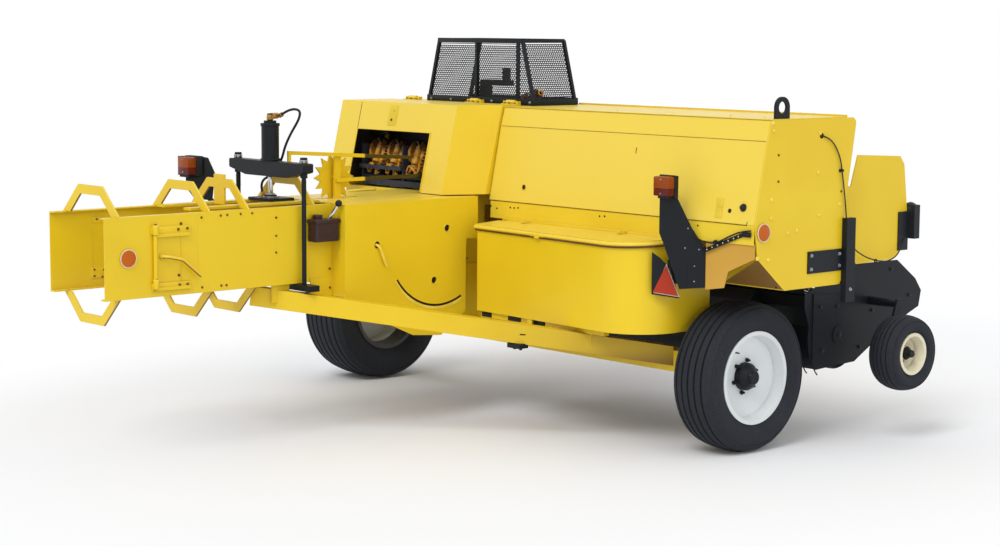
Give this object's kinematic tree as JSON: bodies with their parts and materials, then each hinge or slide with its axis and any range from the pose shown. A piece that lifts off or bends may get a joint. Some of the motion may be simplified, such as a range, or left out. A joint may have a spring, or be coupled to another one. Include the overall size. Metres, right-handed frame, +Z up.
{
  "type": "square baler",
  "caption": "Pull-type small square baler with a side pickup, feeder house, knotter hood, twine box, bale chamber and swinging tongue.",
  "frame": {"origin": "on the ground under the centre of the machine's bounding box", "axes": "+X to the machine's right, +Y forward along the line of travel, +Z up"},
  "size_m": [3.325, 5.8549, 1.885],
  "materials": {
    "yellow_paint": "gloss",
    "black_paint": "satin",
    "dark_red_paint": "satin",
    "rim_white": "satin",
    "rim_cream": "satin",
    "tyre_rubber": "matte",
    "bright_steel": "satin",
    "cast": "matte",
    "black_plastic": "matte",
    "amber_lens": "gloss",
    "red_reflector": "gloss"
  },
  "bodies": {
    "chassis": {"axle_beam": "yellow_paint", "diagonal_brace": "yellow_paint", "extension_sides": "yellow_paint", "chamber_left": "yellow_paint", "chamber_right": "yellow_paint", "chamber_decks": "yellow_paint", "chamber_hoops": "yellow_paint", "tension_frame": "black_paint", "tension_cylinder": "black_paint", "tension_hose": "black_plastic", "pump_reservoir": "dark_red_paint", "metering_arm": "yellow_paint", "right_shield": "yellow_paint", "feeder_floor": "yellow_paint", "feeder_rear_wall": "yellow_paint", "feeder_front_wall": "yellow_paint", "feeder_left_wall": "yellow_paint", "end_plate": "yellow_paint", "rear_panel": "yellow_paint", "top_cover": "yellow_paint", "lifting_eye": "black_paint", "drive_house": "yellow_paint", "knotter_frame": "yellow_paint", "knotters": "yellow_paint", "cage_frame": "black_paint", "cage_crank": "yellow_paint", "twine_box": "yellow_paint", "lamp_stalks": "black_paint", "lamp_housings": "black_plastic", "lamp_lenses": "amber_lens", "red_triangle": "red_reflector", "amber_reflectors": "amber_lens", "side_post": "black_paint", "front_shield": "yellow_paint", "gearbox": "cast", "flywheel_guard": "yellow_paint", "plunger": "yellow_paint", "needles": "yellow_paint", "hinge_frame": "yellow_paint"},
    "right_wheel": {"right_tyre": "tyre_rubber", "right_rim": "rim_white"},
    "left_wheel": {"left_tyre": "tyre_rubber", "left_rim": "rim_white"},
    "gauge_wheel": {"gauge_tyre": "tyre_rubber", "gauge_rim": "rim_cream"},
    "pickup": {"pickup_frame": "black_paint", "pickup_strippers": "black_paint"},
    "reel": {"pickup_reel": "black_paint"},
    "windguard": {"windguard": "black_paint"},
    "lid": {"twine_lid": "yellow_paint"},
    "hood": {"knotter_hood": "yellow_paint"},
    "metering_wheel": {"metering_wheel": "yellow_paint"},
    "flywheel": {"flywheel": "cast"},
    "tongue": {"tongue": "yellow_paint", "jack_tube": "black_paint", "driveline_guard": "black_plastic"},
    "jack": {"jack_leg": "bright_steel"},
    "driveline": {"driveline_shaft": "bright_steel"},
    "lift_barrel": {"lift_cylinder": "black_paint"},
    "lift_rod": {"lift_rod": "bright_steel"}
  },
  "joints": [
    {"name": "right_wheel_roll", "type": "hinge", "parent": "chassis", "child": "right_wheel", "pos_m": [1.2225, -0.4864, 0.35], "axis": [1, 0, 0], "continuous": true},
    {"name": "left_wheel_roll", "type": "hinge", "parent": "chassis", "child": "left_wheel", "pos_m": [-1.4975, -0.4864, 0.381], "axis": [1, 0, 0], "continuous": true},
    {"name": "pickup_lift", "type": "hinge", "parent": "chassis", "child": "pickup", "pos_m": [-0.1515, -0.4664, 0.47], "axis": [1, 0, 0], "range_deg": [-19.3, 0]},
    {"name": "reel_turn", "type": "hinge", "parent": "pickup", "child": "reel", "pos_m": [0.5775, 0.1136, 0.495], "axis": [1, 0, 0], "continuous": true},
    {"name": "gauge_wheel_roll", "type": "hinge", "parent": "pickup", "child": "gauge_wheel", "pos_m": [1.5875, 0.2586, 0.426], "axis": [1, 0, 0], "continuous": true},
    {"name": "windguard_swing", "type": "hinge", "parent": "pickup", "child": "windguard", "pos_m": [0.5775, 0.2036, 0.775], "axis": [1, 0, 0], "range_deg": [0, 20]},
    {"name": "lift_barrel_swing", "type": "hinge", "parent": "chassis", "child": "lift_barrel", "pos_m": [-0.2375, -0.0464, 0.97], "axis": [1, 0, 0], "range_deg": [0, 1.5]},
    {"name": "lift_rod_slide", "type": "slide", "parent": "lift_barrel", "child": "lift_rod", "axis": [0, 0.1203, -0.9927], "range_m": [0, 0.17]},
    {"name": "twine_lid_swing", "type": "hinge", "parent": "chassis", "child": "lid", "pos_m": [0.4625, -0.7904, 0.98384], "axis": [-1, 0, 0], "range_deg": [0, 80]},
    {"name": "knotter_hood_swing", "type": "hinge", "parent": "chassis", "child": "hood", "pos_m": [-0.5375, -0.5514, 1.566], "axis": [-1, 0, 0], "range_deg": [0, 70]},
    {"name": "metering_wheel_turn", "type": "hinge", "parent": "chassis", "child": "metering_wheel", "pos_m": [-0.5375, -1.4944, 1.211], "axis": [1, 0, 0], "continuous": true},
    {"name": "flywheel_turn", "type": "hinge", "parent": "chassis", "child": "flywheel", "pos_m": [-0.5875, 1.0886, 0.98], "axis": [0, 1, 0], "continuous": true},
    {"name": "tongue_swing", "type": "hinge", "parent": "chassis", "child": "tongue", "pos_m": [-0.5875, 1.2736, 0.56], "axis": [0, 0, 1], "range_deg": [-28, 0]},
    {"name": "driveline_turn", "type": "hinge", "parent": "tongue", "child": "driveline", "pos_m": [-0.5875, 1.2736, 0.98], "axis": [-0.2765, 0.9457, -0.1711], "continuous": true},
    {"name": "jack_slide", "type": "slide", "parent": "tongue", "child": "jack", "axis": [0, 0, 1], "range_m": [0, 0.34]}
  ],
  "couplings": [
    {"joint": "lift_barrel_swing", "follows": "pickup_lift", "ratio": -0.0638},
    {"joint": "lift_rod_slide", "follows": "pickup_lift", "m_per_rad": -0.4874},
    {"joint": "driveline_turn", "follows": "flywheel_turn", "ratio": 1}
  ]
}
